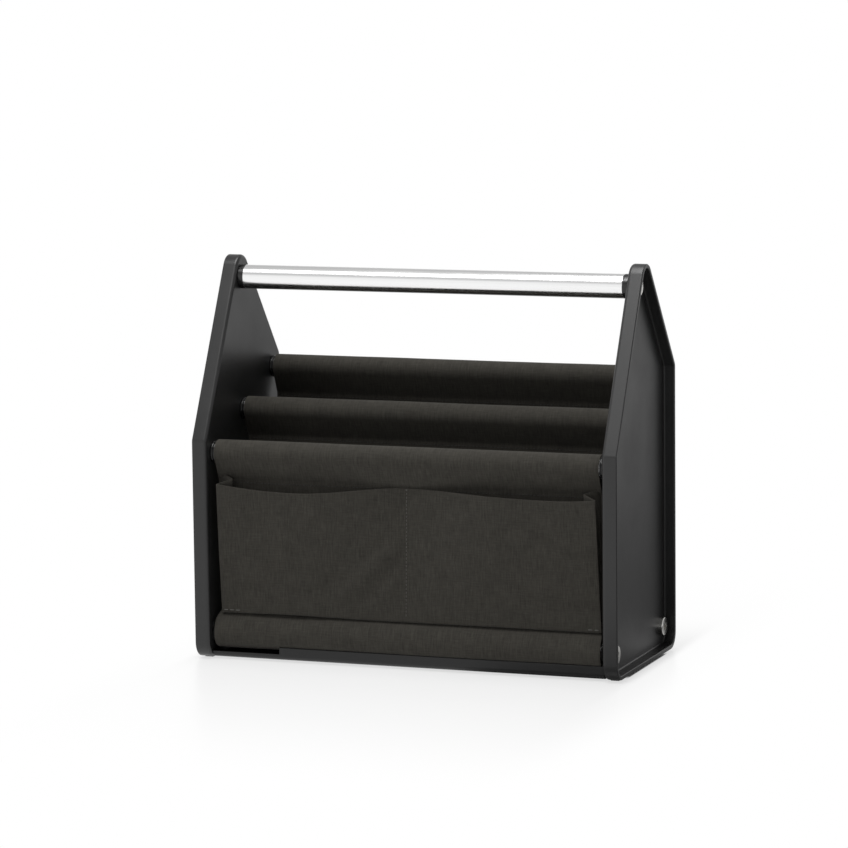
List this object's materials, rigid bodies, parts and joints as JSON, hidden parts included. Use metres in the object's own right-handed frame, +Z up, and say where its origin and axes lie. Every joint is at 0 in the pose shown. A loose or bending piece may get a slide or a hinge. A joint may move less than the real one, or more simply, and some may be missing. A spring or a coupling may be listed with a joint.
{
  "type": "tool caddy",
  "caption": "Open tool caddy: moulded end panels joined by a tube handle and stepped rods that carry canvas walls and a front pocket, over a shallow base tray; stands free, carried by hand.",
  "frame": {"origin": "floor under the middle of the caddy", "axes": "+X to the right seen from the pocket side, +Y from the pocket side to the back, +Z up"},
  "size_m": [0.4, 0.18, 0.3598],
  "materials": {
    "panel_black": "fine moulded grain, satin edges",
    "tube_aluminium": "drawn tube, satin",
    "plug_black": "smooth moulding",
    "bolt_nickel": "bright nickel plating",
    "canvas": "plain-weave canvas with slubs, olive charcoal",
    "tray_black": "smooth moulding",
    "foot_rubber": "matt"
  },
  "bodies": {
    "root": {"left_end_panel": "panel_black", "right_end_panel": "panel_black", "handle_tube": "tube_aluminium", "front_top_rod": "tube_aluminium", "middle_top_rod": "tube_aluminium", "rear_top_rod": "tube_aluminium", "front_lower_tube": "tube_aluminium", "rear_lower_tube": "tube_aluminium", "handle_plugs": "plug_black", "front_rod_plugs": "plug_black", "middle_rod_plugs": "plug_black", "rear_rod_plugs": "plug_black", "front_tube_plugs": "plug_black", "rear_tube_plugs": "plug_black", "frame_bolts": "bolt_nickel", "front_wall_cloth": "canvas", "rear_wall_cloth": "canvas", "divider_cloth": "canvas", "floor_cloth": "canvas", "pocket_panel": "canvas", "pocket_gusset_left": "canvas", "pocket_gusset_right": "canvas", "base_tray": "tray_black", "front_left_foot": "foot_rubber", "front_right_foot": "foot_rubber", "rear_left_foot": "foot_rubber", "rear_right_foot": "foot_rubber"}
  },
  "joints": []
}
